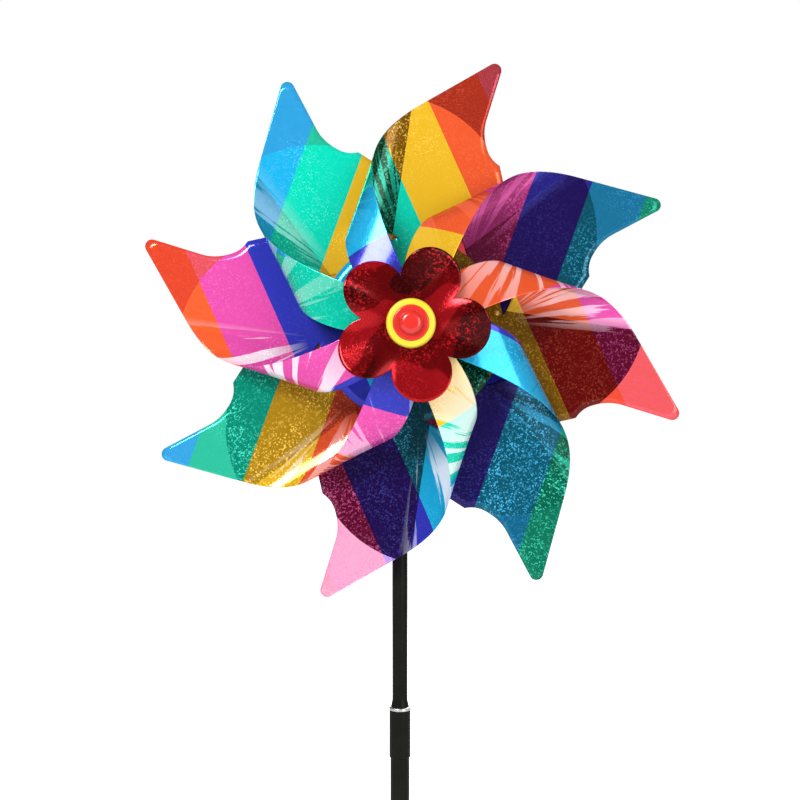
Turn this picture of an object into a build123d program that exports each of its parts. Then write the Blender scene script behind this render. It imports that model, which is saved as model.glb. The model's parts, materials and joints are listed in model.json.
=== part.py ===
from build123d import *
import os
from math import cos, radians, sin

os.makedirs("parts", exist_ok=True)

# ---------------------------------------------------------------- driving dimensions (mm)
hub_height = 335.0          # wheel axis above the lower end of the stem's shank
hub_offset = 5.0            # wheel axis beside the stem axis, along +X
tip_radius = 120.0          # wheel axis to the tip of a vane
first_vane_angle = 27.0     # of the rear sheet, from +X towards +Z
vanes_per_sheet = 4
film = 0.3                  # thickness of every sheet of film
disc_radius = 40.0          # uncut middle of each vane sheet
roll_height = 27.0          # from the rear sheet to the ends of its vanes at the hub
tab_pitch = 0.4             # from one vane end to the next on the hub
tab_radius = 8.6

rod_radius = 3.35
sleeve_radius = 4.65
shank_radius = 4.2
socket_radius = 3.3
joint_height = 170.0        # top of the sleeve
sleeve_length = 22.0
socket_depth = 20.0
lift_gap = 0.07             # radial clearance of the rod in its socket
pin_radius = 1.5
pin_clearance = 0.06
tube_radius = 3.5           # hub tube, outside
tube_bore = 2.5
boss_half = 7.0             # half the length of the stem head's boss
thrust_thickness = 0.7
thrust_play = 0.1           # on each side of the thrust washer
flange_thickness = 1.6
sheet_gap = 0.7             # between the two vane sheets
clamp_thickness = 1.0
tab_washer_thickness = 0.8
tab_play = 0.1              # between the last vane end and its washer

# places along the wheel axis, measured forwards from the stem axis
washer_back = boss_half + thrust_play
flange_back = washer_back + thrust_thickness + thrust_play
rear_sheet_back = flange_back + flange_thickness
spacer_back = rear_sheet_back + film
front_sheet_back = spacer_back + sheet_gap
clamp_back = front_sheet_back + film
sleeve_back = clamp_back + clamp_thickness
tabs_back = rear_sheet_back + roll_height
last_tab_front = tabs_back + (2 * vanes_per_sheet - 1) * tab_pitch + film
tab_washer_back = last_tab_front + tab_play
flower_back = tab_washer_back + tab_washer_thickness
cap_back = flower_back + film
cap_depth = 4.2
pin_end = cap_back + 2.4


def wheel_plane(forward):
    """The plane across the wheel axis, its normal towards the front."""
    return Plane(origin=(hub_offset, -forward, hub_height), x_dir=(1, 0, 0), z_dir=(0, -1, 0))


def finish(part, name):
    part.label = name
    export_step(part, f"parts/{name}.step")


# ---------------------------------------------------------------- lower stem
spike_length = 14.0
spike_shoulder = 2.0
spike_tip_radius = 0.6
plug_length = 30.0
tube_wall = 1.2
tube_top = joint_height - sleeve_length
bore_radius = shank_radius - tube_wall

with BuildPart() as ground_spike:
    with BuildSketch(Plane.XZ):
        with BuildLine():
            Polyline((0, plug_length), (bore_radius, plug_length), (bore_radius, 0), (shank_radius, 0),
                     (shank_radius, -spike_shoulder), (spike_tip_radius, -spike_length),
                     (0, -spike_length), (0, plug_length))
        make_face()
    revolve(axis=Axis.Z)
    top_rim = ground_spike.edges().sort_by(Axis.Z)[-1]
    chamfer(top_rim, 0.6)
finish(ground_spike.part, "ground_spike")

with BuildPart() as lower_tube:
    with BuildSketch():
        Circle(shank_radius)
        Circle(bore_radius, mode=Mode.SUBTRACT)
    extrude(amount=tube_top)
finish(lower_tube.part, "lower_tube")

rim_height = 1.3
rim_overhang = 0.1
spigot_length = 16.0
rim_bottom = joint_height - rim_height

with BuildPart() as joint_sleeve:
    with BuildSketch(Plane.XY.offset(tube_top)):
        Circle(sleeve_radius)
    extrude(amount=rim_bottom - tube_top)
    seam_edge = joint_sleeve.edges().sort_by(Axis.Z)[0]
    chamfer(seam_edge, 0.25)
    with BuildSketch(Plane.XY.offset(tube_top - spigot_length)):
        Circle(bore_radius)
    extrude(amount=spigot_length)
    with BuildSketch(Plane.XY.offset(joint_height - socket_depth)):
        Circle(socket_radius)
    extrude(amount=socket_depth, mode=Mode.SUBTRACT)
finish(joint_sleeve.part, "joint_sleeve")

with BuildPart() as sleeve_rim:
    with BuildSketch(Plane.XY.offset(rim_bottom)):
        Circle(sleeve_radius + rim_overhang)
        Circle(socket_radius, mode=Mode.SUBTRACT)
    extrude(amount=rim_height)
    outer_edge = sleeve_rim.edges().group_by(Axis.Z)[-1].sort_by(SortBy.RADIUS)[-1]
    fillet(outer_edge, 0.5)
finish(sleeve_rim.part, "sleeve_rim")

# ---------------------------------------------------------------- upper stem
collar_height = 3.0
collar_radius = 3.95
tenon_length = socket_depth - 1.0
head_bottom = hub_height - 46.0
head_socket_depth = 12.0
head_straight = 18.0        # height of the head's lower part, along the rod
head_radius = 4.3
head_lip_radius = 4.0
boss_radius = 6.0
pin_head_radius = 3.0
pin_head_thickness = 1.2

with BuildPart() as upper_rod:
    with BuildSketch(Plane.XY.offset(joint_height - tenon_length)):
        Circle(socket_radius - lift_gap)
    extrude(amount=tenon_length)
    chamfer(upper_rod.edges().sort_by(Axis.Z)[0], 0.8)
    with BuildSketch(Plane.XY.offset(joint_height)):
        Circle(collar_radius)
    with BuildSketch(Plane.XY.offset(joint_height + collar_height)):
        Circle(rod_radius)
    loft()
    with BuildSketch(Plane.XY.offset(joint_height + collar_height)):
        Circle(rod_radius)
    extrude(amount=head_bottom + head_socket_depth - joint_height - collar_height)
finish(upper_rod.part, "upper_rod")

with BuildPart() as stem_head:
    with BuildSketch(Plane.XY.offset(head_bottom)):
        Circle(head_lip_radius)
    with BuildSketch(Plane.XY.offset(head_bottom + head_straight)):
        Circle(head_radius)
    loft()
    with BuildSketch(Plane.XY.offset(head_bottom + head_straight)):
        Circle(head_radius)
    with BuildSketch(Plane.XY.offset(hub_height)):
        with Locations((hub_offset, 0)):
            Circle(head_radius)
    loft()
    with BuildSketch(wheel_plane(-boss_half)):
        Circle(boss_radius)
    extrude(amount=2 * boss_half)
    with BuildSketch(Plane.XY.offset(head_bottom)):
        Circle(rod_radius)
    extrude(amount=head_socket_depth, mode=Mode.SUBTRACT)
    with BuildSketch(wheel_plane(-boss_half)):
        Circle(pin_radius)
    extrude(amount=2 * boss_half, mode=Mode.SUBTRACT)
    boss_rims = stem_head.edges().filter_by(GeomType.CIRCLE)
    fillet(boss_rims.filter_by(lambda edge: abs(edge.radius - boss_radius) < 0.01), 0.6)
finish(stem_head.part, "stem_head")

with BuildPart() as axle_pin:
    with BuildSketch(wheel_plane(-boss_half)):
        Circle(pin_radius)
    extrude(amount=boss_half + pin_end)
    with BuildSketch(wheel_plane(-boss_half - pin_head_thickness)):
        Circle(pin_head_radius)
    extrude(amount=pin_head_thickness)
    chamfer(axle_pin.edges().sort_by(Axis.Y)[-1], 0.4)
    chamfer(axle_pin.edges().sort_by(Axis.Y)[0], 0.3)
finish(axle_pin.part, "axle_pin")

bush_length = 4.0
end_cap_length = 1.6
end_cap_play = 0.2
end_cap_radius = 2.3
bush_front = pin_end - end_cap_length - end_cap_play - 0.1

with BuildPart() as axle_end_cap:
    with BuildSketch(wheel_plane(bush_front + end_cap_play)):
        Circle(end_cap_radius)
        Circle(pin_radius, mode=Mode.SUBTRACT)
    extrude(amount=end_cap_length)
finish(axle_end_cap.part, "axle_end_cap")

# ---------------------------------------------------------------- hub of the wheel
def ring(name, back, outer, inner, thickness, edge=0.0):
    """A plain ring across the wheel axis, its two outer edges rounded."""
    with BuildPart() as piece:
        with BuildSketch(wheel_plane(back)):
            Circle(outer)
            Circle(inner, mode=Mode.SUBTRACT)
        extrude(amount=thickness)
        if edge:
            rims = piece.edges().filter_by(GeomType.CIRCLE)
            fillet(rims.filter_by(lambda rim: rim.radius > outer - 0.01), edge)
    finish(piece.part, name)


bearing_bore = pin_radius + pin_clearance
thrust_washer_radius = 4.5
spacer_radius = 9.0
clamp_radius = 10.0
spacer_sleeve_radius = 5.0
tab_washer_radius = 8.0

ring("rear_thrust_washer", washer_back, thrust_washer_radius, bearing_bore, thrust_thickness, 0.15)
ring("rear_bush", flange_back, tube_bore, bearing_bore, bush_length)
ring("front_bush", bush_front - bush_length, tube_bore, bearing_bore, bush_length)
ring("sheet_spacer", spacer_back, spacer_radius, tube_radius, sheet_gap)
ring("sheet_clamp_washer", clamp_back, clamp_radius, tube_radius, clamp_thickness, 0.3)
ring("spacer_sleeve", sleeve_back, spacer_sleeve_radius, tube_radius, tabs_back - sleeve_back)
ring("tab_washer", tab_washer_back, tab_washer_radius, tube_radius, tab_washer_thickness, 0.2)

flange_radius = 11.0
tube_front = cap_back + 2.8

with BuildPart() as hub_tube:
    with BuildSketch(wheel_plane(flange_back)):
        Circle(flange_radius)
    extrude(amount=rear_sheet_back - flange_back)
    fillet(hub_tube.edges().sort_by(Axis.Y)[-1], 0.6)
    with BuildSketch(wheel_plane(flange_back)):
        Circle(tube_radius)
    extrude(amount=tube_front - flange_back)
    with BuildSketch(wheel_plane(flange_back)):
        Circle(tube_bore)
    extrude(amount=tube_front - flange_back, mode=Mode.SUBTRACT)
finish(hub_tube.part, "hub_tube")

cap_radius = 10.1
recess_radius = 7.45
recess_floor = cap_back + 3.0

with BuildPart() as cap_ring:
    with BuildSketch(wheel_plane(cap_back)):
        Circle(cap_radius)
    extrude(amount=cap_depth)
    front_rim = cap_ring.edges().sort_by(Axis.Y)[0]
    fillet(front_rim, 1.4)
    with BuildSketch(wheel_plane(recess_floor)):
        Circle(recess_radius)
    extrude(amount=cap_depth, mode=Mode.SUBTRACT)
    with BuildSketch(wheel_plane(cap_back)):
        Circle(tube_radius)
    extrude(amount=cap_depth, mode=Mode.SUBTRACT)
finish(cap_ring.part, "cap_ring")

dome_radius = 4.9
dome_height = 2.6
disc_front = recess_floor + 1.7

with BuildPart() as cap_button:
    with BuildSketch(wheel_plane(recess_floor)):
        Circle(recess_radius)
    extrude(amount=disc_front - recess_floor)
    fillet(cap_button.edges().sort_by(Axis.Y)[0], 0.7)
    with BuildSketch(wheel_plane(disc_front)):
        Circle(dome_radius)
    extrude(amount=dome_height)
    fillet(cap_button.edges().sort_by(Axis.Y)[0], dome_height - 0.1)
finish(cap_button.part, "cap_button")

# ---------------------------------------------------------------- flower
petals = 5
petal_reach = 20.2          # wheel axis to the middle of a petal
petal_radius = 12.4
flower_middle_radius = 14.5
first_petal_angle = -5.6

with BuildPart() as flower_film:
    with BuildSketch(wheel_plane(flower_back)):
        Circle(flower_middle_radius)
        with PolarLocations(petal_reach, petals, start_angle=first_petal_angle):
            Circle(petal_radius)
        Circle(tube_radius, mode=Mode.SUBTRACT)
    extrude(amount=film)
finish(flower_film.part, "flower_film")

# ---------------------------------------------------------------- vane sheets
# One vane, its tip on +x: the lower layer lies in the plane of the sheet and the
# roll is the ruled surface between the outer edge and the cut edge, which both
# leave that plane, curl forwards and come back to the hub.
slot_root = (36.0, 17.5)
roll_outside = (93.0, 27.5)
neck_start = (39.9, -2.8)
web_start = (19.65, -34.87)   # the rear sheet is wider here, out to the next slot
neck_middle = (71.0, -19.5)
hook_start = (79.4, -14.6)
hook_middle = (85.5, -6.6)
hook_end = (97.0, -3.0)
tip_corner = (tip_radius + 6.0, -2.6)
tip_round = 3.0
strap_angle = 43.0          # where the strap meets the hub
strap_reach = 5.6
strap_half = 6.5
layer_seam = 0.5            # the lower layer runs this far into the roll
vane_pitch = 360 / vanes_per_sheet


def vane_layer(inner_start):
    """Outline of the flat lower layer of one vane, a little past the start of the roll."""
    seam_outside = (roll_outside[0], roll_outside[1] + layer_seam)
    seam_inside = (slot_root[0], slot_root[1] + layer_seam)
    with BuildSketch(mode=Mode.PRIVATE) as layer:
        with BuildLine():
            Line((0, 0), inner_start)
            Line(inner_start, neck_middle)
            Line(neck_middle, hook_start)
            Spline(hook_start, hook_middle, hook_end, tangents=[(0.3, 1), (1, 0)])
            Line(hook_end, tip_corner)
            Line(tip_corner, seam_outside)
            Line(seam_outside, seam_inside)
            Line(seam_inside, (0, 0))
        make_face()
        fillet(layer.vertices().sort_by(Axis.X)[-1], tip_round)
    return layer.sketch


def roll_edges(rise):
    """The outer edge and the cut edge of one roll, up to the hub at the height rise."""
    across = (cos(radians(strap_angle)), sin(radians(strap_angle)))
    outer_end = (strap_reach * across[0] + strap_half * across[1],
                 strap_reach * across[1] - strap_half * across[0], rise)
    cut_end = (strap_reach * across[0] - strap_half * across[1],
               strap_reach * across[1] + strap_half * across[0], rise)
    outer_edge = Edge.make_bezier((*roll_outside, 0), (67.5, 49.5, 0), (48.5, 36.5, rise), outer_end)
    cut_edge = Edge.make_bezier((*slot_root, 0), (44, 50, 0), (16, 42, rise), cut_end)
    return outer_edge, cut_edge


def roll_solid(rise):
    """One curled strap of film, thickened towards the front of the lower layer."""
    surface = Face.make_surface_from_curves(*roll_edges(rise))
    forwards = surface.normal_at(surface.position_at(0.01, 0.5)).Z > 0
    return Solid.thicken(surface, film if forwards else -film)


def vane_sheet(name, back, turn, first_level, inner_start):
    """A die-cut sheet: disc, four lower layers, four rolls and the ends on the hub."""
    plane = wheel_plane(back)
    with BuildPart() as sheet:
        with BuildSketch(plane):
            Circle(disc_radius)
            for number in range(vanes_per_sheet):
                add(vane_layer(inner_start).rotate(Axis.Z, turn + number * vane_pitch))
            Circle(tube_radius, mode=Mode.SUBTRACT)
        extrude(amount=film)
        for number in range(vanes_per_sheet):
            level = tabs_back + (first_level + 2 * number) * tab_pitch
            roll = roll_solid(level + film - back).rotate(Axis.Z, turn + number * vane_pitch)
            add(plane.location * roll)
            with BuildSketch(wheel_plane(level)):
                Circle(tab_radius)
                Circle(tube_radius, mode=Mode.SUBTRACT)
            extrude(amount=film)
    finish(sheet.part, name)


vane_sheet("rear_vane_sheet", rear_sheet_back, first_vane_angle, 0, web_start)
vane_sheet("front_vane_sheet", front_sheet_back, first_vane_angle + vane_pitch / 2, 1, neck_start)
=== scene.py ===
import json
from math import atan2, cos, pi, radians, sin

import bpy
import numpy as np
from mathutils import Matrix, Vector


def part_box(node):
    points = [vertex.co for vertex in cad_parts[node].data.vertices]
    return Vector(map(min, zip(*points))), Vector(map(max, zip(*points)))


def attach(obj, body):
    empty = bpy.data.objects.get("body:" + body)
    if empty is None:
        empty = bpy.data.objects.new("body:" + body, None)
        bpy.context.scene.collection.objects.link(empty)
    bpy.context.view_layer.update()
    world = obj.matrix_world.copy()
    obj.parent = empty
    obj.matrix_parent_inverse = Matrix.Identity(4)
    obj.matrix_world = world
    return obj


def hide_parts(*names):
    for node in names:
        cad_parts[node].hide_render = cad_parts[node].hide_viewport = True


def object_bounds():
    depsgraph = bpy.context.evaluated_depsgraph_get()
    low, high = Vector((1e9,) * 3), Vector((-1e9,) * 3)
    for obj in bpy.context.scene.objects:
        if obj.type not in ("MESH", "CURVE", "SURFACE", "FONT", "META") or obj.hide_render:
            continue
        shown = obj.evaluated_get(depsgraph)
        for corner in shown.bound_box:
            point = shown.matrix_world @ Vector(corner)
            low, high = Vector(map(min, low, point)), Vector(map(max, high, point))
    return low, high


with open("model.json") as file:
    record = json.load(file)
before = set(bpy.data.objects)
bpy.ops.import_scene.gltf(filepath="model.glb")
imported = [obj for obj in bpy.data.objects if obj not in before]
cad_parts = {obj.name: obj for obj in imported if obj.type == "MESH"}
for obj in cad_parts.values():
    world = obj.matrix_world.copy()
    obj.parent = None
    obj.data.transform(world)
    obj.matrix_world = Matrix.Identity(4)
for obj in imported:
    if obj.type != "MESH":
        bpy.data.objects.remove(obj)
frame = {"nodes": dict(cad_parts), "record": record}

cad_box = [list(corner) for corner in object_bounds()]

# ---------------------------------------------------------------- places, in metres
MM = 0.001
HUB = Vector((5.0 * MM, 0, 335.0 * MM))         # wheel axis, at the stem's depth
FILM = 0.2 * MM                                 # drawn thickness of a sheet
CAD_FILM = 0.3 * MM
TUBE_RADIUS = 3.5 * MM
TAB_RADIUS = 8.6 * MM
TAB_PITCH = 0.4 * MM                            # from one vane end to the next on the hub
ROLL_HEIGHT = 27.0 * MM                         # from the rear sheet to the first vane end
STRIPE = 24.5 * MM                              # width of one printed stripe
FIRST_VANE = 27.0                               # angle of the rear sheet's first tip


def sheet_back(node):
    """How far in front of the stem a film node's rear face lies."""
    return -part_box(node)[1][1]


REAR_BACK = sheet_back("rear_vane_sheet")
FRONT_BACK = sheet_back("front_vane_sheet")
TABS_BACK = REAR_BACK + ROLL_HEIGHT


def in_wheel(x, y, forward):
    """A point of the wheel: x and y across its axis, forward towards its front."""
    return Vector((HUB.x + x, -forward, HUB.z + y))


# ---------------------------------------------------------------- small node helpers
BLACK, WHITE = (0.0, 0.0, 0.0), (1.0, 1.0, 1.0)


def grey(value):
    return (value, value, value)


class Graph:
    """A material's node tree, with short calls to add nodes and links."""

    def __init__(self, name):
        self.material = bpy.data.materials.new(name)
        self.material.use_nodes = True
        self.tree = self.material.node_tree
        self.tree.nodes.clear()

    def node(self, kind, links=(), **settings):
        made = self.tree.nodes.new("ShaderNode" + kind)
        for key, value in settings.items():
            setattr(made, key, value)
        for socket, value in dict(links).items():
            if isinstance(value, bpy.types.NodeSocket):
                self.tree.links.new(value, made.inputs[socket])
            else:
                made.inputs[socket].default_value = value
        return made

    def math(self, operation, first, second=0.0):
        return self.node("Math", {0: first, 1: second}, operation=operation).outputs[0]

    def product(self, *factors):
        result = factors[0]
        for factor in factors[1:]:
            result = self.math("MULTIPLY", result, factor)
        return result

    def mix(self, factor, first, second):
        made = self.node("Mix", {"Factor": factor}, data_type="RGBA")
        for socket, value in ((6, first), (7, second)):
            if isinstance(value, bpy.types.NodeSocket):
                self.tree.links.new(value, made.inputs[socket])
            else:
                made.inputs[socket].default_value = (*value, 1)
        return made.outputs[2]

    def ramp(self, factor, stops, interpolation="LINEAR"):
        made = self.node("ValToRGB", {"Fac": factor})
        ramp = made.color_ramp
        ramp.interpolation = interpolation
        while len(ramp.elements) < len(stops):
            ramp.elements.new(0.5)
        for element, (place, colour) in zip(ramp.elements, stops):
            element.position = place
            element.color = (*colour, 1)
        return made.outputs[0]

    def noise(self, place, scale, detail, **settings):
        inputs = {"Vector": place, "Scale": scale, "Detail": detail, **settings}
        return self.node("TexNoise", inputs).outputs[0]

    def finish(self, shader):
        self.node("OutputMaterial", {"Surface": shader})
        return self.material


def glitter(g, place, cells, lit, patches, gathered, least):
    """Small cells of random brightness, gathered in loose patches; cells and patches
    are counted per metre. The brightness is painted glints of the glitter flakes.
    A cell starts to glint at the first of the two lit values and is full at the
    second. Gathered holds the two noise values between which a patch rises from
    least to full. Gives the painted glints and a random height per cell."""
    made = g.node("TexVoronoi", {"Vector": place, "Scale": cells}, feature="F1")
    chance = g.node("SeparateColor", {0: made.outputs["Color"]})
    glint = g.ramp(chance.outputs[0], [(lit[0], BLACK), (lit[1], WHITE)])
    patchy = g.ramp(g.noise(place, patches, 2.0), [
        (gathered[0], grey(least)), (gathered[1], WHITE),
    ])
    return g.product(glint, patchy), chance.outputs[1]


# ---------------------------------------------------------------- striped film
# Printed stripes in their order across the sheet: green, yellow, red, magenta, blue, cyan.
# Each has a painted-shade copy, a pale painted-light copy and a painted-highlight copy.
SHADED_STRIPE_COLOURS = [
    (0.0, 0.045, 0.014),
    (0.17, 0.075, 0.001),
    (0.11, 0.0006, 0.0006),
    (0.095, 0.0006, 0.018),
    (0.010, 0.0012, 0.060),
    (0.0, 0.050, 0.072),
]
LIT_STRIPE_COLOURS = [
    (0.03, 0.68, 0.48),
    (0.90, 0.46, 0.02),
    (0.92, 0.12, 0.05),
    (0.92, 0.17, 0.17),
    (0.08, 0.10, 0.66),
    (0.05, 0.52, 0.85),
]
HIGHLIGHT_STRIPE_COLOURS = [
    (0.0, 0.72, 0.50),
    (0.92, 0.55, 0.02),
    (0.95, 0.12, 0.03),
    (0.80, 0.08, 0.42),
    (0.03, 0.04, 0.50),
    (0.01, 0.45, 0.80),
]
STRIPE_GLITTER = (1.0, 1.0, 0.6, 1.0, 0.35, 1.0)
STRIPES = len(STRIPE_GLITTER)

# By vane, in the order of their ends on the hub, from 0 to 1: the tip's pale painted
# reflection, the body's painted shade, the roll's painted light, the strength of the
# painted highlight streaks and of the painted glints.
TIP_PAINTED_REFLECTION = (0.15, 0.20, 0.85, 0.80, 0.90, 1.0, 0.0, 0.90)
BODY_PAINTED_SHADE = (0.95, 0.15, 0.0, 0.0, 0.7, 1.0, 0.9, 1.0)
ROLL_PAINTED_LIGHT = (0.30, 0.0, 0.45, 0.9, 0.7, 0.75, 0.05, 0.75)
PAINTED_STREAK_STRENGTH = (0.25, 0.15, 0.6, 1.0, 0.75, 0.95, 0.2, 0.8)
VANE_GLINT_STRENGTH = (0.5, 0.7, 0.8, 0.7, 1.0, 0.9, 1.0, 0.30)
VANES = len(TIP_PAINTED_REFLECTION)

BODY_CENTRE = (43.8 * MM, 24.6 * MM)            # the body's painted shade ends on a circle
BODY_RADIUS = 52.7 * MM
ROLL_START = 0.03                               # from here on, the look is the roll's, with its painted light
ROLL_PAINTED_HIGHLIGHT = 0.8                                # painted highlight of a roll near the hub
FAN_APEX = (34.0 * MM, 15.0 * MM)               # painted highlight streaks fan out from here, along the lines where the film bends
FAN_SPREAD = 4.2                                # noise across the streaks, per radian
FAN_LENGTH = 6.0                                # noise along them, per metre
FAN_FULL = 50.0 * MM                            # the streaks start within this reach
FAN_SHIFT = 5.0                                 # noise between one vane's fan and the next
BROAD_SHARE = 0.66                              # broad streaks against fine ones
TIP_OPACITY, BODY_OPACITY = 0.50, 0.86
# a painted violet reflection for the palest tip, with the tint of the light through it
VIOLET_REFLECTION, VIOLET_TINT = (0.90, 0.62, 0.92), (0.95, 0.75, 0.97)
# the colour that the strongest painted highlight streaks whiten towards
PAINTED_STREAK_WHITE = (1.0, 0.96, 1.0)


def by_stripe(g, place, colours):
    """Picks a stripe's colour or shade by the place across one set of stripes, 0 to 1."""
    return g.ramp(place, [(n / STRIPES, colour) for n, colour in enumerate(colours)], "CONSTANT")


def by_vane(g, number, values):
    """Picks a vane's value by its number over the number of vanes."""
    margin = 0.02
    stops = [(max(n / VANES - margin, 0), grey(value)) for n, value in enumerate(values)]
    return g.ramp(number, stops, "CONSTANT")


def way_from(g, vane, centre):
    """The x, the y and the length of the way from a centre to a place in the vane."""
    x = g.math("SUBTRACT", vane.outputs[0], centre[0])
    y = g.math("SUBTRACT", vane.outputs[1], centre[1])
    return x, y, g.math("SQRT", g.math("ADD", g.product(x, x), g.product(y, y)))


def painted_streak_fan(g, vane, turn, number, strength):
    """A fan of painted highlight streaks, reflections where the film is bent, from 0 to 1."""
    x, y, reach = way_from(g, vane, FAN_APEX)
    angle = g.math("ARCTAN2", y, x)
    place = g.node("CombineXYZ", {
        0: g.product(angle, FAN_SPREAD),
        1: g.product(reach, FAN_LENGTH),
        2: g.product(number, FAN_SHIFT * VANES),
    }).outputs[0]
    broad, fine = g.noise(place, 1.5, 1.0), g.noise(place, 5.5, 3.0)
    both = g.math("ADD", g.product(broad, BROAD_SHARE), g.product(fine, 1 - BROAD_SHARE))
    painted_streak = g.ramp(both, [(0.497, BLACK), (0.515, WHITE)])
    opens = g.ramp(angle, [(0.16, BLACK), (0.42, WHITE)])
    starts = g.ramp(g.math("DIVIDE", reach, FAN_FULL), [(0.16, BLACK), (0.5, WHITE)])
    fades = g.ramp(turn, [(0.55, WHITE), (0.85, grey(0.35))])
    share = g.math("ADD", 0.30, g.product(strength, 0.65))
    return g.product(painted_streak, opens, starts, fades, share)


def film_normal(g, flat, heights):
    """Slack waves in the film, and a slight tilt of each glitter cell."""
    waves = g.noise(flat, 14.0, 1.0)
    slack = g.node("Bump", {"Strength": 0.5, "Distance": 0.006, "Height": waves})
    return g.node("Bump", {
        "Strength": 0.08, "Distance": 0.0001, "Height": heights, "Normal": slack.outputs[0],
    }).outputs[0]


def striped_film():
    """Striped holographic film. UV map "flat" holds each point's place across and
    along the stripes, "vane" its place in its own flat vane, and the colour
    attribute how far round the roll it lies and which vane it is on."""
    g = Graph("striped_film")
    flat = g.node("UVMap", uv_map="flat").outputs[0]
    across = g.node("SeparateXYZ", {0: flat}).outputs[0]
    vane = g.node("SeparateXYZ", {0: g.node("UVMap", uv_map="vane").outputs[0]})
    zones = g.node("SeparateColor", {0: g.node("VertexColor", layer_name="zones").outputs[0]})
    turn, number = zones.outputs[0], zones.outputs[1]

    place = g.math("FRACT", g.math("DIVIDE", across, STRIPES * STRIPE))
    # each stripe's painted-shade, pale painted-light and painted-highlight copies
    deep, pale = by_stripe(g, place, SHADED_STRIPE_COLOURS), by_stripe(g, place, LIT_STRIPE_COLOURS)
    bright = by_stripe(g, place, HIGHLIGHT_STRIPE_COLOURS)
    rolled = g.math("GREATER_THAN", turn, ROLL_START)
    # body: the rolls and the circle of the body's painted shade, where the film is also more opaque
    inside = g.math("LESS_THAN", way_from(g, vane, BODY_CENTRE)[2], BODY_RADIUS)
    body = g.math("MAXIMUM", inside, rolled)

    cells, heights = glitter(
        g, flat, cells=1800.0, lit=(0.69, 0.92), patches=32.0, gathered=(0.38, 0.56), least=0.22)
    stripe_glitter = by_stripe(g, place, [grey(share) for share in STRIPE_GLITTER])
    glint = g.product(cells, stripe_glitter, by_vane(g, number, VANE_GLINT_STRENGTH))

    # the tip, the body and the roll of each vane catch the light differently, painted here:
    # a pale painted reflection on the tip, painted shade on the body, painted light on the roll
    tip_reflection = by_vane(g, number, TIP_PAINTED_REFLECTION)
    violet = g.math("POWER", tip_reflection, 30.0)    # a painted violet reflection, on the palest tip alone
    tip = g.mix(tip_reflection, g.mix(0.22, deep, pale), pale)
    tip = g.mix(g.product(violet, 0.5), tip, VIOLET_REFLECTION)
    tip_tint = g.mix(g.product(violet, 0.75), g.mix(0.5, pale, tip), VIOLET_TINT)
    painted_body_shade = g.mix(by_vane(g, number, BODY_PAINTED_SHADE), bright, deep)
    near_hub = g.ramp(turn, [(0.42, BLACK), (0.62, WHITE)])
    painted_roll_light = g.mix(near_hub, by_vane(g, number, ROLL_PAINTED_LIGHT), grey(ROLL_PAINTED_HIGHLIGHT))
    colour = g.mix(body, tip, painted_body_shade)
    colour = g.mix(rolled, colour, g.mix(painted_roll_light, deep, bright))
    # painted glints: the glitter cells turn to near the stripe's highlight colour
    colour = g.mix(g.product(glint, 0.9), colour, g.mix(0.06, bright, WHITE))

    # painted highlight streaks, whitest on the vanes where they are strongest
    strength = by_vane(g, number, PAINTED_STREAK_STRENGTH)
    whiteness = g.product(g.math("POWER", strength, 2.0), 0.8)
    painted_streak = painted_streak_fan(g, vane, turn, number, strength)
    colour = g.mix(painted_streak, colour, g.mix(whiteness, bright, PAINTED_STREAK_WHITE))

    surface = g.node("BsdfPrincipled", {
        "Base Color": colour, "Roughness": g.math("ADD", 0.10, g.product(glint, 0.25)),
        "Normal": film_normal(g, flat, heights), "Metallic": 0.35, "Specular IOR Level": 0.3,
    })
    tint = g.mix(body, tip_tint, g.mix(0.36, deep, pale))
    through = g.node("BsdfTransparent", {"Color": tint})
    opaque = g.math("ADD", TIP_OPACITY, g.product(body, BODY_OPACITY - TIP_OPACITY))
    share = g.node("MixShader", {0: opaque, 1: through.outputs[0], 2: surface.outputs[0]})
    return g.finish(share.outputs[0])


# ---------------------------------------------------------------- other materials
def red_film():
    """See-through red film, glitter as painted glints, dark and bright painted reflections."""
    g = Graph("red_film")
    place = g.node("TexCoord").outputs["Object"]
    glint, heights = glitter(
        g, place, cells=1500.0, lit=(0.6, 0.95), patches=90.0, gathered=(0.42, 0.62), least=0.1)
    # painted reflection: dark and bright patches on the petals
    painted_reflection_patches = g.ramp(g.noise(place, 42.0, 0.0, Distortion=0.4), [
        (0.40, (0.045, 0.0003, 0.001)), (0.415, (0.14, 0.0006, 0.002)),
        (0.56, (0.17, 0.0008, 0.002)), (0.575, (0.40, 0.005, 0.010)),
    ])
    # painted glints: the glitter cells turn bright red
    colour = g.mix(glint, painted_reflection_patches, (0.68, 0.014, 0.020))
    bump = g.node("Bump", {"Strength": 0.1, "Distance": 0.0001, "Height": heights})
    surface = g.node("BsdfPrincipled", {
        "Base Color": colour, "Roughness": 0.12, "Normal": bump.outputs[0], "Metallic": 0.6,
        "Specular IOR Level": 0.3,
    })
    through = g.node("BsdfTransparent", {"Color": (0.75, 0.03, 0.04, 1)})
    share = g.node("MixShader", {0: 0.78, 1: through.outputs[0], 2: surface.outputs[0]})
    return g.finish(share.outputs[0])


def moulded(name, colour, roughness, shade, coat=0.0):
    """Moulded plastic: faint mottling, a fine grain and slightly uneven gloss."""
    g = Graph(name)
    place = g.node("TexCoord").outputs["Object"]
    mottle = g.noise(place, 160.0, 4.0)
    darker = tuple(shade * channel for channel in colour)
    grain = g.noise(place, 2600.0, 2.0)
    bump = g.node("Bump", {"Strength": 0.12, "Distance": 0.00005, "Height": grain})
    shader = g.node("BsdfPrincipled", {
        "Base Color": g.mix(mottle, darker, colour), "Normal": bump.outputs[0], "Coat Weight": coat,
        "Roughness": g.math("ADD", roughness, g.product(mottle, 0.08)),
    })
    return g.finish(shader.outputs[0])


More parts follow.
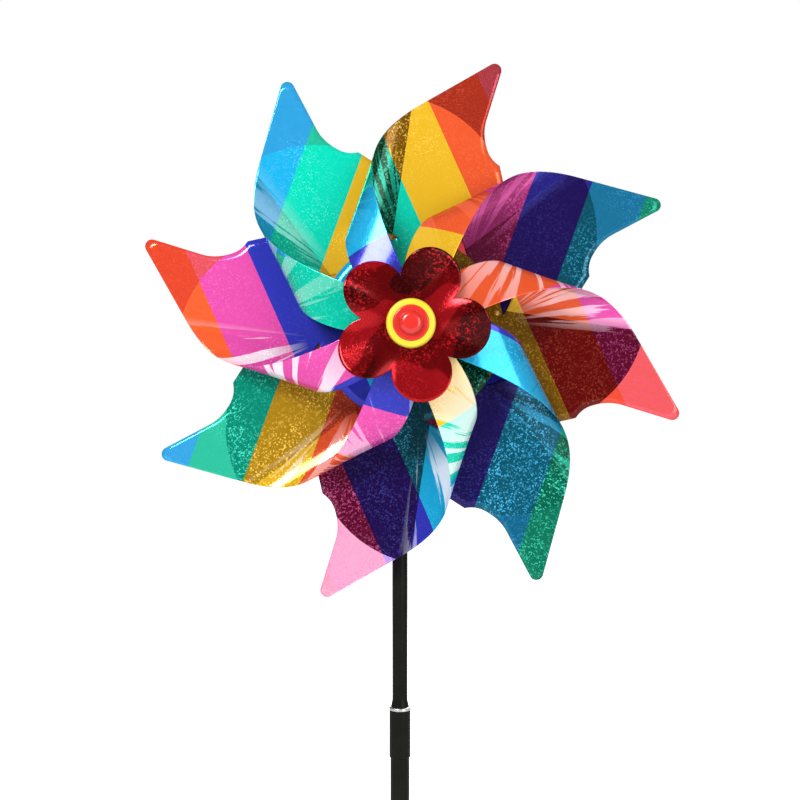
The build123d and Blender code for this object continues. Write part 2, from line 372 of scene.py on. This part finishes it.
def extruded_black():
    """Near-black extruded plastic with faint draw lines along the stem."""
    g = Graph("black_plastic")
    place = g.node("TexCoord").outputs["Object"]
    drawn = g.node("Mapping", {"Vector": place, "Scale": (1400.0, 1400.0, 25.0)}).outputs[0]
    lines = g.noise(drawn, 1.0, 3.0)
    bump = g.node("Bump", {"Strength": 0.15, "Distance": 0.00008, "Height": lines})
    mottle = g.noise(place, 120.0, 4.0)
    shader = g.node("BsdfPrincipled", {
        "Base Color": g.mix(mottle, (0.003, 0.003, 0.003), (0.010, 0.010, 0.009)),
        "Roughness": g.math("ADD", 0.24, g.product(mottle, 0.14)),
        "Normal": bump.outputs[0], "Specular IOR Level": 0.06,
    })
    return g.finish(shader.outputs[0])


def metal(name, colour, roughness, stretch):
    """Turned or drawn metal, its fine marks stretched along one axis."""
    g = Graph(name)
    place = g.node("TexCoord").outputs["Object"]
    drawn = g.node("Mapping", {"Vector": place, "Scale": stretch}).outputs[0]
    marks = g.noise(drawn, 1.0, 3.0)
    darker = tuple(0.75 * channel for channel in colour)
    bump = g.node("Bump", {"Strength": 0.1, "Distance": 0.00005, "Height": marks})
    shader = g.node("BsdfPrincipled", {
        "Base Color": g.mix(marks, darker, colour), "Metallic": 1.0, "Normal": bump.outputs[0],
        "Roughness": g.math("ADD", roughness, g.product(marks, 0.15)),
    })
    return g.finish(shader.outputs[0])


MATERIALS = {
    "striped_film": striped_film(),
    "red_film": red_film(),
    "black_plastic": extruded_black(),
    "yellow_plastic": moulded("yellow_plastic", (0.58, 0.50, 0.02), 0.30, 0.92),
    "red_plastic": moulded("red_plastic", (0.55, 0.014, 0.009), 0.22, 0.88, coat=0.3),
    "white_plastic": moulded("white_plastic", (0.78, 0.78, 0.74), 0.42, 0.93),
    "bright_rim": metal("bright_rim", (0.60, 0.61, 0.60), 0.22, (300.0, 300.0, 5000.0)),
    "steel": metal("steel", (0.60, 0.60, 0.60), 0.25, (3000.0, 60.0, 3000.0)),
    "brass_bush": metal("brass_bush", (0.78, 0.58, 0.26), 0.25, (300.0, 5000.0, 300.0)),
}


def dress_cad_nodes():
    """Gives each CAD node the material of its slot."""
    slots = {part["node"]: part["material_slot"] for part in frame["record"]["subparts"]}
    for name, node in frame["nodes"].items():
        for slot in node.material_slots:
            slot.link = "OBJECT"
            slot.material = MATERIALS[slots[name]]


# ---------------------------------------------------------------- vane outline
# One vane, its tip on +x, in millimetres until it is placed. The outline is the CAD
# vane's, but for WEB_CORNER.
VANES_PER_SHEET = 4
VANE_ANGLE = 360.0 / VANES_PER_SHEET
SLOT_ROOT = np.array((36.0, 17.5))
ROLL_OUTSIDE = np.array((93.0, 27.5))
NECK_START, NECK_MIDDLE = np.array((39.9, -2.8)), np.array((71.0, -19.5))
WEB_CORNER = np.array((29.0, -41.0))            # the rear sheet's neck is wider, out to here
HOOK_START, HOOK_MIDDLE, HOOK_END = (79.4, -14.6), (85.5, -6.6), (97.0, -3.0)
HOOK_OUTER_BENDS = (92.5, -3.0), (88.6, -4.6)
HOOK_INNER_BENDS = (82.6, -8.4), (80.6, -10.5)
TIP_CORNER = np.array((126.0, -2.6))
TIP_ROUND = 3.0
STRAP_ANGLE, STRAP_REACH, STRAP_HALF = 43.0, 5.6, 6.5
OUTER_BENDS = (67.5, 49.5), (48.5, 36.5)        # of the roll's outer edge
CUT_BENDS = (44.0, 50.0), (16.0, 42.0)          # of the roll's cut edge
TAB_DROP = 0.22                                 # a tab lies this far behind its strap's end

OUTER_STEPS, TIP_STEPS, STRAIGHT_STEPS, HOOK_STEPS = 13, 12, 8, 8
NECK_STEPS, WEB_STEPS = (4, 7), (3, 4)
ACROSS_STEPS = OUTER_STEPS + TIP_STEPS + STRAIGHT_STEPS + 2 * HOOK_STEPS + sum(NECK_STEPS)
LAYER_STEPS = sum(WEB_STEPS) + NECK_STEPS[1]
ROUND_STEPS, WEB_DEPTH_STEPS, DISC_STEPS = 72, 5, 10
TAB_SPOKES, TAB_STEPS = 32, 3


def bezier(controls, t):
    """Points of a cubic Bezier curve at the values t."""
    p = np.array(controls, float)
    t = np.asarray(t, float)[:, None]
    s = 1 - t
    return s**3 * p[0] + 3 * s**2 * t * p[1] + 3 * s * t**2 * p[2] + t**3 * p[3]


def between(first, last, steps):
    """Rows of points from first to last, which may be points or rows of points."""
    share = np.linspace(0, 1, steps + 1).reshape(-1, *[1] * np.ndim(first))
    return first * (1 - share) + last * share


def turned(points, angle):
    """Points turned about the wheel axis by degrees; a third coordinate stays."""
    c, s = cos(radians(angle)), sin(radians(angle))
    x, y = points[..., 0] * c - points[..., 1] * s, points[..., 0] * s + points[..., 1] * c
    return np.concatenate([x[..., None], y[..., None], points[..., 2:]], -1)


def polar(radius, degrees):
    turns = np.radians(degrees)
    return np.stack([radius * np.cos(turns), radius * np.sin(turns)], -1)


def polar_angle(point):
    return float(np.degrees(atan2(point[1], point[0])))


NECK_ANGLE, ROOT_ANGLE = polar_angle(NECK_START), polar_angle(SLOT_ROOT)
DISC_RIM = np.hypot(*SLOT_ROOT)


# ---------------------------------------------------------------- vane surfaces
def roll_surface(rise):
    """The grid of one roll: rows from the flat layer to the hub, columns from the
    outer edge to the cut edge."""
    across = polar(1.0, STRAP_ANGLE)
    beside = np.array((across[1], -across[0]))
    outer_end = STRAP_REACH * across + STRAP_HALF * beside
    cut_end = STRAP_REACH * across - STRAP_HALF * beside
    t = np.linspace(0, 1, ROUND_STEPS + 1)

    def edge(start, bends, end):
        return bezier([(*start, 0), (*bends[0], 0), (*bends[1], rise), (*end, rise)], t)

    outer = edge(ROLL_OUTSIDE, OUTER_BENDS, outer_end)
    cut = edge(SLOT_ROOT, CUT_BENDS, cut_end)
    return between(outer, cut, ACROSS_STEPS).transpose(1, 0, 2)


def unrolled(grid):
    """Flat places of a ruled grid's points: each strip between two rulings is laid
    down beside the last one at its true size."""
    distance = np.linalg.norm
    outer, cut = grid[:, 0], grid[:, -1]
    flat = np.zeros((len(grid), 2, 2))
    flat[0] = outer[0][:2], cut[0][:2]

    def third(a, b, to_a, to_b):
        """The point at the given distances from a and b, on the roll's side of them."""
        length = distance(b - a)
        x = (to_a**2 - to_b**2 + length**2) / (2 * length)
        y = np.sqrt(max(to_a**2 - x**2, 0))
        unit = (b - a) / length
        return a + unit * x - np.array((-unit[1], unit[0])) * y

    for i in range(1, len(grid)):
        a, b = flat[i - 1]
        flat[i, 0] = third(
            a, b, distance(outer[i] - outer[i - 1]), distance(outer[i] - cut[i - 1]))
        flat[i, 1] = third(
            flat[i, 0], b, distance(cut[i] - outer[i]), distance(cut[i] - cut[i - 1]))
    return between(flat[:, 0], flat[:, 1], grid.shape[1] - 1).transpose(1, 0, 2)


def tip_arc():
    """The round tip, from the vane's outer edge to its rear edge."""
    rear = (HOOK_END - TIP_CORNER) / np.linalg.norm(HOOK_END - TIP_CORNER)
    front = (ROLL_OUTSIDE - TIP_CORNER) / np.linalg.norm(ROLL_OUTSIDE - TIP_CORNER)
    half = np.arccos(rear @ front) / 2
    middle = (rear + front) / np.linalg.norm(rear + front)
    centre = TIP_CORNER + middle * TIP_ROUND / sin(half)
    touch = TIP_ROUND / np.tan(half)
    start = polar_angle(TIP_CORNER + front * touch - centre)
    end = polar_angle(TIP_CORNER + rear * touch - centre)
    return centre + polar(TIP_ROUND, np.linspace(start, end, TIP_STEPS + 1))


def rear_edge():
    """The vane's edge from the outer end of the roll round the tip to the neck."""
    tip = tip_arc()
    t = np.linspace(0, 1, HOOK_STEPS + 1)
    return np.vstack([
        between(ROLL_OUTSIDE, tip[0], OUTER_STEPS)[:-1],
        tip,
        between(tip[-1], np.array(HOOK_END), STRAIGHT_STEPS)[1:-1],
        bezier([HOOK_END, *HOOK_OUTER_BENDS, HOOK_MIDDLE], t),
        bezier([HOOK_MIDDLE, *HOOK_INNER_BENDS, HOOK_START], t)[1:],
        between(np.array(HOOK_START), NECK_MIDDLE, NECK_STEPS[0])[1:],
        between(NECK_MIDDLE, NECK_START, NECK_STEPS[1])[1:],
    ])


def layer_surface():
    """The grid of the flat lower layer: rows from the rear edge to the roll."""
    seam = between(ROLL_OUTSIDE, SLOT_ROOT, ACROSS_STEPS)
    grid = between(rear_edge(), seam, LAYER_STEPS)
    grid[:, -1] = polar(DISC_RIM, np.linspace(NECK_ANGLE, ROOT_ANGLE, LAYER_STEPS + 1))
    return grid


def web_surface():
    """The grid of the wider neck of a rear vane, from the disc's rim outwards."""
    next_root = turned(SLOT_ROOT, -VANE_ANGLE)
    outside = np.vstack([
        between(next_root, WEB_CORNER, WEB_STEPS[0]),
        between(WEB_CORNER, NECK_MIDDLE, WEB_STEPS[1])[1:],
        between(NECK_MIDDLE, NECK_START, NECK_STEPS[1])[1:],
    ])
    rim = polar(DISC_RIM, np.linspace(ROOT_ANGLE - VANE_ANGLE, NECK_ANGLE, LAYER_STEPS + 1))
    return between(rim, outside, WEB_DEPTH_STEPS)


def disc_sector(start, end):
    """The grid of a sector of the uncut disc, from the hub tube to the rim."""
    turns = np.linspace(start, end, LAYER_STEPS + 1)
    return between(polar(TUBE_RADIUS / MM, turns), polar(DISC_RIM, turns), DISC_STEPS)


def tab_ring():
    """The grid of a vane end, a ring round the hub tube."""
    turns = np.linspace(0, 360, TAB_SPOKES + 1)
    return between(polar(TUBE_RADIUS / MM, turns), polar(TAB_RADIUS / MM, turns), TAB_STEPS)


def at_height(grid, height):
    return np.concatenate([grid, np.full((*grid.shape[:2], 1), height)], -1)


# ---------------------------------------------------------------- vane sheets
def film_piece(name, mesh, material):
    """A piece of film of the drawn thickness round the mesh of its middle surface."""
    mesh.shade_smooth()
    mesh.materials.append(material)
    made = bpy.data.objects.new(name, mesh)
    bpy.context.scene.collection.objects.link(made)
    thick = made.modifiers.new("thickness", "SOLIDIFY")
    thick.thickness = FILM
    thick.offset = 0.0
    return made


class Film:
    """Collects the points and faces of one sheet, with each corner's flat places."""

    def __init__(self):
        self.points, self.faces, self.corners = [], [], []
        self.area = 0.0
        self.known = {}

    def point(self, place):
        key = tuple(np.round(place, 4))
        if key not in self.known:
            self.known[key] = len(self.points)
            self.points.append(place)
        return self.known[key]

    def grid(self, places, flat, vane, turn, number):
        """Adds a grid of faces: places in space, flat in the sheet, vane in the vane."""
        rows, columns = places.shape[:2]
        index = [[self.point(places[i, j]) for j in range(columns)] for i in range(rows)]
        for i in range(rows - 1):
            for j in range(columns - 1):
                around = [(i, j), (i, j + 1), (i + 1, j + 1), (i + 1, j)]
                face, corners = [], []
                for at in around:
                    if index[at[0]][at[1]] not in face:
                        face.append(index[at[0]][at[1]])
                        corners.append((*flat[at], *vane[at], turn[at[0]], number / VANES))
                if len(face) > 2:
                    x, y = np.array([flat[at] for at in around]).T
                    self.area += abs(x @ np.roll(y, -1) - y @ np.roll(x, -1)) / 2 * MM**2
                    self.faces.append(face)
                    self.corners += corners

    def flat_grid(self, grid, angle, vane, number):
        """Adds a grid that stays in the plane of the sheet."""
        placed = turned(grid, angle)
        self.grid(at_height(placed, 0.0), placed, vane, np.zeros(len(grid)), number)

    def piece(self, name, back, stripe_turn, stripe_start):
        """The sheet's piece, with the maps and the attribute that its material reads."""
        mesh = bpy.data.meshes.new(name)
        middle = back + CAD_FILM / 2
        places = [in_wheel(x * MM, y * MM, middle + z * MM) for x, y, z in self.points]
        mesh.from_pydata(places, [], self.faces)
        corners = np.array(self.corners)
        across = polar(1.0, stripe_turn)
        along = np.array((-across[1], across[0]))
        flat = corners[:, :2] * MM
        maps = {
            "flat": np.stack([flat @ across - stripe_start, flat @ along], -1),
            "vane": corners[:, 2:4] * MM,
        }
        for key, values in maps.items():
            mesh.uv_layers.new(name=key).data.foreach_set("uv", values.astype(np.float32).ravel())
        zones = mesh.color_attributes.new("zones", "FLOAT_COLOR", "CORNER")
        colours = np.concatenate([corners[:, 4:6], np.ones((len(corners), 2))], 1)
        zones.data.foreach_set("color", colours.astype(np.float32).ravel())
        return film_piece(name, mesh, MATERIALS["striped_film"])


def vane_sheet(name, node, first_angle, back, first_level, stripe_turn, stripe_start, web=False):
    """One die-cut sheet: its disc, four lower layers, four rolls and their ends."""
    film = Film()
    layer, wide, tab = layer_surface(), web_surface(), tab_ring()
    for vane in range(VANES_PER_SHEET):
        angle = first_angle + VANE_ANGLE * vane
        number = 2 * vane + first_level
        rise = (TABS_BACK + number * TAB_PITCH - back) / MM
        film.flat_grid(layer, angle, layer, number)
        if web:
            film.flat_grid(wide, angle, wide, number)

        surface = roll_surface(rise)
        flat = unrolled(surface)
        turn = np.linspace(0, 1, len(surface))
        film.grid(turned(surface, angle), turned(flat, angle), flat, turn, number)

        for start, end in ((NECK_ANGLE, ROOT_ANGLE), (ROOT_ANGLE, NECK_ANGLE + VANE_ANGLE)):
            disc = disc_sector(start, end)
            film.flat_grid(disc, angle, 0 * disc, number)

        tab_flat = tab + turned(flat[-1].mean(0), angle)
        film.grid(at_height(tab, rise - TAB_DROP), tab_flat, 0 * tab, np.ones(len(tab)), number)

    made = film.piece(name, back, stripe_turn, stripe_start)
    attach(made, "wheel")
    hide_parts(node)


# Stripes run straight across each sheet, turned by stripe_turn; a green one starts at
# stripe_start, measured across them from the axis.
vane_sheet("rear_vanes", "rear_vane_sheet", FIRST_VANE, REAR_BACK, first_level=0,
           stripe_turn=-20.0, stripe_start=-70.8 * MM, web=True)
vane_sheet("front_vanes", "front_vane_sheet", FIRST_VANE + VANE_ANGLE / 2, FRONT_BACK,
           first_level=1, stripe_turn=24.0, stripe_start=-2.1 * MM)


# ---------------------------------------------------------------- flower, in millimetres
PETALS, PETAL_REACH, PETAL_RADIUS = 5, 20.2, 12.4
FIRST_PETAL = -5.6
FLOWER_MIDDLE = 14.5
FLOWER_RINGS, FLOWER_SPOKES = 22, 240
CUP_START, CUP_LENGTH = 9.0, 22.0               # the flower is flat up to here, then cupped
CUP_HEIGHT, CUP_POWER = 1.5, 1.5
RIPPLE = 2.4                                    # how far each petal twists out of the plane


def flower_rim(angle):
    """Distance from the axis to the flower's edge."""
    spacing = 360 / PETALS
    off = radians((angle - FIRST_PETAL + spacing / 2) % spacing - spacing / 2)
    inside = PETAL_RADIUS**2 - (PETAL_REACH * sin(off)) ** 2
    reach = PETAL_REACH * cos(off) + np.sqrt(inside) if inside > 0 else 0
    return max(reach, FLOWER_MIDDLE)


def flower_height(radius, angle):
    """How far forward the film lies, cupped and rippled towards the petals' ends."""
    beyond = max(radius - CUP_START, 0) / CUP_LENGTH
    ripple = RIPPLE * beyond * sin(radians((angle - FIRST_PETAL) * PETALS))
    return CUP_HEIGHT * beyond**CUP_POWER + ripple


def flower():
    """Five petals of red film in front of the vane ends."""
    hole = TUBE_RADIUS / MM
    middle = sheet_back("flower_film") + CAD_FILM / 2
    points, faces = [], []
    for spoke in range(FLOWER_SPOKES):
        angle = 360 * spoke / FLOWER_SPOKES
        for radius in np.linspace(hole, flower_rim(angle), FLOWER_RINGS + 1):
            x, y = polar(radius, angle)
            points.append(in_wheel(x * MM, y * MM, middle + flower_height(radius, angle) * MM))
    row = FLOWER_RINGS + 1
    for spoke in range(FLOWER_SPOKES):
        here, after = spoke * row, (spoke + 1) % FLOWER_SPOKES * row
        for ring in range(FLOWER_RINGS):
            faces.append([here + ring, here + ring + 1, after + ring + 1, after + ring])
    mesh = bpy.data.meshes.new("flower")
    mesh.from_pydata(points, [], faces)
    piece = film_piece("flower", mesh, MATERIALS["red_film"])
    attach(piece, "wheel")
    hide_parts("flower_film")


flower()
dress_cad_nodes()

# ---------------------------------------------------------------- studio
FLOOR_REACH = 6.0
ROOM_LIGHT = 0.32
LAMPS = (                                       # name, place, size and power
    ("key", (-0.7, -1.1, 1.1), 0.5, 26.0),
    ("fill", (0.9, -0.9, 0.5), 0.8, 10.0),
    ("back", (0.3, 1.0, 0.9), 0.8, 14.0),
)
CAMERA_PLACE = (0.006, -0.525, 0.294)
CAMERA_PITCH, CAMERA_YAW = 1.16, 0.65           # up from level, and left of straight ahead
CAMERA_LENS, CAMERA_SENSOR = 53.5, 36.0


def floor_paper():
    """Pale paper, white where the camera sees it, that throws no light of its own."""
    g = Graph("floor_paper")
    speckle = g.noise(g.node("TexCoord").outputs["Object"], 40.0, 2.0)
    tone = g.mix(speckle, (0.86, 0.86, 0.86), (0.90, 0.90, 0.90))
    seen = g.node("LightPath").outputs["Is Camera Ray"]
    shader = g.node("BsdfPrincipled", {
        "Base Color": tone, "Roughness": 0.9,
        "Emission Color": (1, 1, 1, 1), "Emission Strength": seen,
    })
    return g.finish(shader.outputs[0])


def floor():
    """A square floor at the lowest point of the object."""
    low = cad_box[0][2]
    sides = ((-1, -1), (1, -1), (1, 1), (-1, 1))
    corners = [(x * FLOOR_REACH, y * FLOOR_REACH, low) for x, y in sides]
    mesh = bpy.data.meshes.new("floor")
    mesh.from_pydata(corners, [], [(0, 1, 2, 3)])
    mesh.materials.append(floor_paper())
    ground = bpy.data.objects.new("floor", mesh)
    bpy.context.scene.collection.objects.link(ground)


def room():
    """A soft even room, seen by the camera as plain white."""
    world = bpy.data.worlds.new("studio")
    bpy.context.scene.world = world
    world.use_nodes = True
    tree = world.node_tree
    light = tree.nodes["Background"]
    light.inputs["Color"].default_value = (1, 1, 1, 1)
    light.inputs["Strength"].default_value = ROOM_LIGHT
    paper = tree.nodes.new("ShaderNodeBackground")
    paper.inputs["Color"].default_value = (1, 1, 1, 1)
    seen = tree.nodes.new("ShaderNodeLightPath")
    choice = tree.nodes.new("ShaderNodeMixShader")
    tree.links.new(seen.outputs["Is Camera Ray"], choice.inputs[0])
    tree.links.new(light.outputs[0], choice.inputs[1])
    tree.links.new(paper.outputs[0], choice.inputs[2])
    tree.links.new(choice.outputs[0], tree.nodes["World Output"].inputs["Surface"])


def lamps():
    for name, place, size, power in LAMPS:
        lamp = bpy.data.lights.new(name, "AREA")
        lamp.energy = power
        lamp.size = size
        made = bpy.data.objects.new(name, lamp)
        made.location = place
        made.rotation_mode = "QUATERNION"
        made.rotation_quaternion = (HUB - Vector(place)).to_track_quat("-Z", "Y")
        bpy.context.scene.collection.objects.link(made)


def camera():
    lens = bpy.data.cameras.new("camera")
    lens.sensor_width = CAMERA_SENSOR
    lens.lens = CAMERA_LENS
    lens.clip_start, lens.clip_end = 0.01, 50
    made = bpy.data.objects.new("camera", lens)
    bpy.context.scene.collection.objects.link(made)
    made.location = CAMERA_PLACE
    made.rotation_euler = (radians(90 + CAMERA_PITCH), 0, radians(CAMERA_YAW))
    bpy.context.scene.camera = made


camera()
floor()
room()
lamps()
bpy.context.scene.view_settings.view_transform = "Standard"
